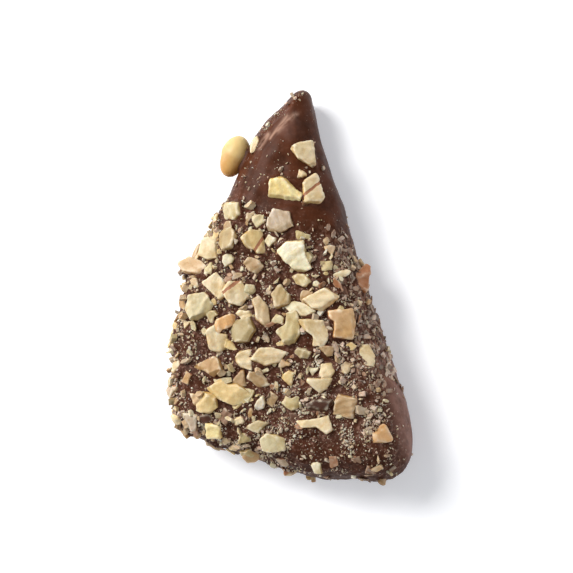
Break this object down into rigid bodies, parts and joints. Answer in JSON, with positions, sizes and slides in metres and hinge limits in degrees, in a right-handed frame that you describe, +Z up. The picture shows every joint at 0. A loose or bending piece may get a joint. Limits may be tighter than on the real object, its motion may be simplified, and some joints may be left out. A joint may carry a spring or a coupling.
{
  "type": "pecan toffee",
  "caption": "Rounded triangular piece of chocolate-coated toffee with chopped nuts pressed into its top and sides, lying flat on its back.",
  "frame": {"origin": "in the flat base that the piece lies on, under the middle of the slab", "axes": "+Z up out of the nutty face, +Y along the piece to its pointed tip"},
  "size_m": [0.0421, 0.0665, 0.0145],
  "materials": {
    "chocolate": "milk chocolate coat, satin, dusted with nut crumbs",
    "nuts": "chopped nuts, cream to tan, dry and slightly waxy"
  },
  "bodies": {
    "root": {"pecan_toffee": "chocolate"}
  },
  "joints": []
}
